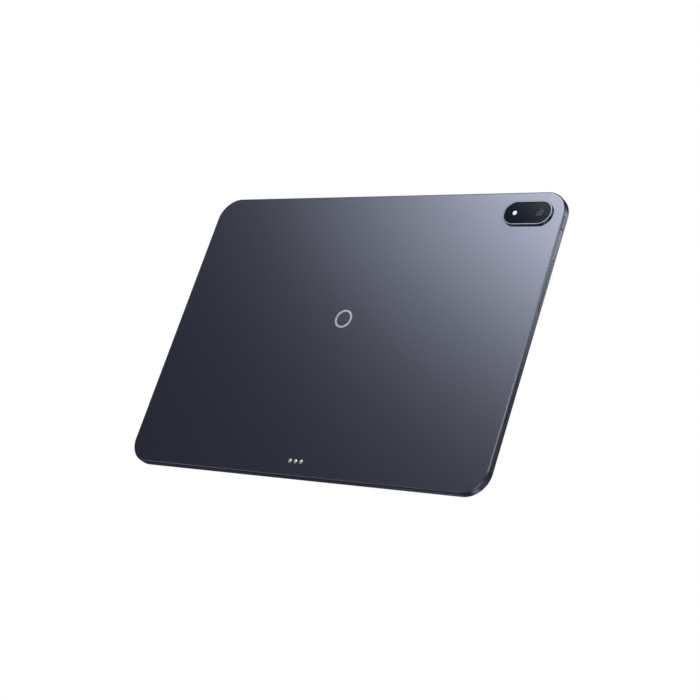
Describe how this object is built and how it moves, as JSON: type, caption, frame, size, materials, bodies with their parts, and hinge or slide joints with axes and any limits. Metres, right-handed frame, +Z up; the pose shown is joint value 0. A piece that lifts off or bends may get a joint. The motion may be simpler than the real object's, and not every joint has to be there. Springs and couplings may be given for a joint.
{
  "type": "tablet computer",
  "caption": "Slim aluminium tablet computer with a pill-shaped rear camera island, sprung side keys, dock contacts and a glass screen.",
  "frame": {"origin": "centre of the flat rear face", "axes": "+Y out of the rear face, +Z up towards the edge with the volume keys, +X along the long side towards the USB socket; the screen faces -Y"},
  "size_m": [0.29, 0.0074, 0.2102],
  "materials": {
    "anodised_body": "anodised slate blue, fine bead-blasted satin",
    "anodised_key": "anodised slate blue, satin",
    "satin_rim": "anodised, turned satin with a bright edge",
    "window_glass": "polished, black printed from behind",
    "lens_glass": "coated and polished",
    "led_yellow": "phosphor",
    "flash_diffuser": "frosted white",
    "polished_inlay": "mirror polished",
    "plated_contact": "plated satin",
    "black_plastic": "moulded, fine texture",
    "magnet": "nickel plated",
    "flex_film": "polyimide film",
    "pressed_aluminium": "pressed sheet",
    "white_film": "layered films",
    "panel_glass": "dark polariser",
    "cover_glass": "polished, with a black printed border",
    "adhesive": "foam tape",
    "cell_pouch": "wrapped laminate pouch",
    "circuit_board": "solder resist",
    "chip": "moulded package",
    "shield_steel": "tin plated",
    "graphite": "graphite sheet",
    "mesh_fabric": "fine black woven mesh",
    "brass_can": "plated can",
    "boot_rubber": "moulded"
  },
  "bodies": {
    "chassis": {"rear_housing": "anodised_body", "camera_ring": "satin_rim", "camera_window": "window_glass", "camera_holder": "black_plastic", "camera_module": "black_plastic", "camera_lens": "lens_glass", "flash_led": "led_yellow", "flash_lens": "flash_diffuser", "ring_inlay": "polished_inlay", "dock_contacts": "plated_contact", "dock_insulator": "black_plastic", "dock_magnets": "magnet", "dock_flex": "flex_film", "mid_plate": "pressed_aluminium", "backlight_unit": "white_film", "display_panel": "panel_glass", "display_frame": "black_plastic", "glass_adhesive": "adhesive", "cover_glass": "cover_glass", "display_flex": "flex_film", "battery_left": "cell_pouch", "battery_right": "cell_pouch", "battery_board": "circuit_board", "main_board": "circuit_board", "processor": "chip", "memory_chips": "chip", "board_shields": "shield_steel", "board_screws": "shield_steel", "heat_spreader": "graphite", "usb_board": "circuit_board", "usb_shell": "shield_steel", "usb_tongue": "black_plastic", "usb_flex": "flex_film", "speaker_upper_left": "black_plastic", "speaker_upper_right": "black_plastic", "speaker_lower_left": "black_plastic", "speaker_lower_right": "black_plastic", "speaker_meshes": "mesh_fabric", "front_camera": "black_plastic", "front_camera_lens": "lens_glass", "light_sensor": "chip", "microphones": "brass_can", "microphone_boots": "boot_rubber", "antenna_left": "black_plastic", "antenna_right": "black_plastic", "key_flex": "flex_film", "key_brackets": "shield_steel", "power_switch": "shield_steel", "volume_switches": "shield_steel"},
    "power_key": {"power_button": "anodised_key"},
    "volume_up_key": {"volume_up_button": "anodised_key"},
    "volume_down_key": {"volume_down_button": "anodised_key"}
  },
  "joints": [
    {"name": "power_press", "type": "slide", "parent": "chassis", "child": "power_key", "axis": [1, 0, 0], "range_m": [0, 0.00025], "stiffness_N_per_m": 1200},
    {"name": "volume_up_press", "type": "slide", "parent": "chassis", "child": "volume_up_key", "axis": [0, 0, -1], "range_m": [0, 0.00025], "stiffness_N_per_m": 1200},
    {"name": "volume_down_press", "type": "slide", "parent": "chassis", "child": "volume_down_key", "axis": [0, 0, -1], "range_m": [0, 0.00025], "stiffness_N_per_m": 1200}
  ]
}
